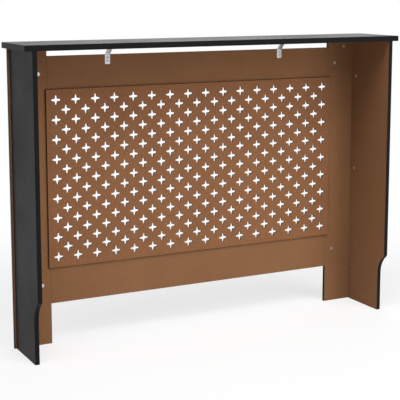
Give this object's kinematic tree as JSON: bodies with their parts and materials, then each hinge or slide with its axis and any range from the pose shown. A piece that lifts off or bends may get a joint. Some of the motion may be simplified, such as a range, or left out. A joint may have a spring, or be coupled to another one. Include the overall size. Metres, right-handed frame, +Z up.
{
  "type": "radiator cover cabinet",
  "caption": "Freestanding radiator cover in black-painted fibreboard, open at the back, with a cross-pierced grille, a shelf top, skirting notches and cam-lock joints.",
  "frame": {"origin": "on the floor, midway along the width and midway between the front and back edges of the top board", "axes": "+X to the right seen from the front, along the width; +Y towards the wall, the open back; +Z up"},
  "size_m": [1.12, 0.19, 0.815],
  "materials": {
    "black_painted_board": "fibreboard with satin black paint on the front and outer faces, and bare brown board on the faces turned to the radiator",
    "black_painted_grille": "pierced thin fibreboard with satin black paint on the front and in the holes, and a bare brown back",
    "zinc_plated_steel": "bright zinc plate",
    "zinc_casting": "light grey die-cast zinc",
    "beech_dowel": "plain beech"
  },
  "bodies": {
    "root": {"top_board": "black_painted_board", "left_side_panel": "black_painted_board", "right_side_panel": "black_painted_board", "left_front_stile": "black_painted_board", "right_front_stile": "black_painted_board", "top_rail": "black_painted_board", "bottom_rail": "black_painted_board", "grille_panel": "black_painted_grille", "left_top_bracket": "zinc_plated_steel", "right_top_bracket": "zinc_plated_steel", "bracket_rail_screws": "zinc_plated_steel", "bracket_top_screws": "zinc_plated_steel", "rail_cam_bolts": "zinc_plated_steel", "side_cam_bolts": "zinc_plated_steel", "top_board_cam_bolts": "zinc_plated_steel", "rail_dowels": "beech_dowel", "stile_dowels": "beech_dowel", "top_board_dowels": "beech_dowel"},
    "left_top_board_cam": {"left_top_board_cam": "zinc_casting"},
    "right_top_board_cam": {"right_top_board_cam": "zinc_casting"},
    "left_top_rail_cam": {"left_top_rail_cam": "zinc_casting"},
    "right_top_rail_cam": {"right_top_rail_cam": "zinc_casting"},
    "left_bottom_rail_cam": {"left_bottom_rail_cam": "zinc_casting"},
    "right_bottom_rail_cam": {"right_bottom_rail_cam": "zinc_casting"},
    "left_side_upper_cam": {"left_side_upper_cam": "zinc_casting"},
    "left_side_middle_cam": {"left_side_middle_cam": "zinc_casting"},
    "left_side_lower_cam": {"left_side_lower_cam": "zinc_casting"},
    "right_side_upper_cam": {"right_side_upper_cam": "zinc_casting"},
    "right_side_middle_cam": {"right_side_middle_cam": "zinc_casting"},
    "right_side_lower_cam": {"right_side_lower_cam": "zinc_casting"}
  },
  "joints": [
    {"name": "left_top_board_lock", "type": "hinge", "parent": "root", "child": "left_top_board_cam", "pos_m": [-0.495, -0.084, 0.778], "axis": [0, 1, 0], "range_deg": [0, 180]},
    {"name": "right_top_board_lock", "type": "hinge", "parent": "root", "child": "right_top_board_cam", "pos_m": [0.495, -0.084, 0.778], "axis": [0, 1, 0], "range_deg": [0, 180]},
    {"name": "left_top_rail_lock", "type": "hinge", "parent": "root", "child": "left_top_rail_cam", "pos_m": [-0.464, -0.084, 0.7295], "axis": [0, 1, 0], "range_deg": [0, 180]},
    {"name": "right_top_rail_lock", "type": "hinge", "parent": "root", "child": "right_top_rail_cam", "pos_m": [0.464, -0.084, 0.7295], "axis": [0, 1, 0], "range_deg": [0, 180]},
    {"name": "left_bottom_rail_lock", "type": "hinge", "parent": "root", "child": "left_bottom_rail_cam", "pos_m": [-0.464, -0.084, 0.163], "axis": [0, 1, 0], "range_deg": [0, 180]},
    {"name": "right_bottom_rail_lock", "type": "hinge", "parent": "root", "child": "right_bottom_rail_cam", "pos_m": [0.464, -0.084, 0.163], "axis": [0, 1, 0], "range_deg": [0, 180]},
    {"name": "left_side_upper_lock", "type": "hinge", "parent": "root", "child": "left_side_upper_cam", "pos_m": [-0.528, -0.064, 0.69], "axis": [1, 0, 0], "range_deg": [0, 180]},
    {"name": "left_side_middle_lock", "type": "hinge", "parent": "root", "child": "left_side_middle_cam", "pos_m": [-0.528, -0.064, 0.41], "axis": [1, 0, 0], "range_deg": [0, 180]},
    {"name": "left_side_lower_lock", "type": "hinge", "parent": "root", "child": "left_side_lower_cam", "pos_m": [-0.528, -0.064, 0.11], "axis": [1, 0, 0], "range_deg": [0, 180]},
    {"name": "right_side_upper_lock", "type": "hinge", "parent": "root", "child": "right_side_upper_cam", "pos_m": [0.528, -0.064, 0.69], "axis": [-1, 0, 0], "range_deg": [0, 180]},
    {"name": "right_side_middle_lock", "type": "hinge", "parent": "root", "child": "right_side_middle_cam", "pos_m": [0.528, -0.064, 0.41], "axis": [-1, 0, 0], "range_deg": [0, 180]},
    {"name": "right_side_lower_lock", "type": "hinge", "parent": "root", "child": "right_side_lower_cam", "pos_m": [0.528, -0.064, 0.11], "axis": [-1, 0, 0], "range_deg": [0, 180]}
  ]
}
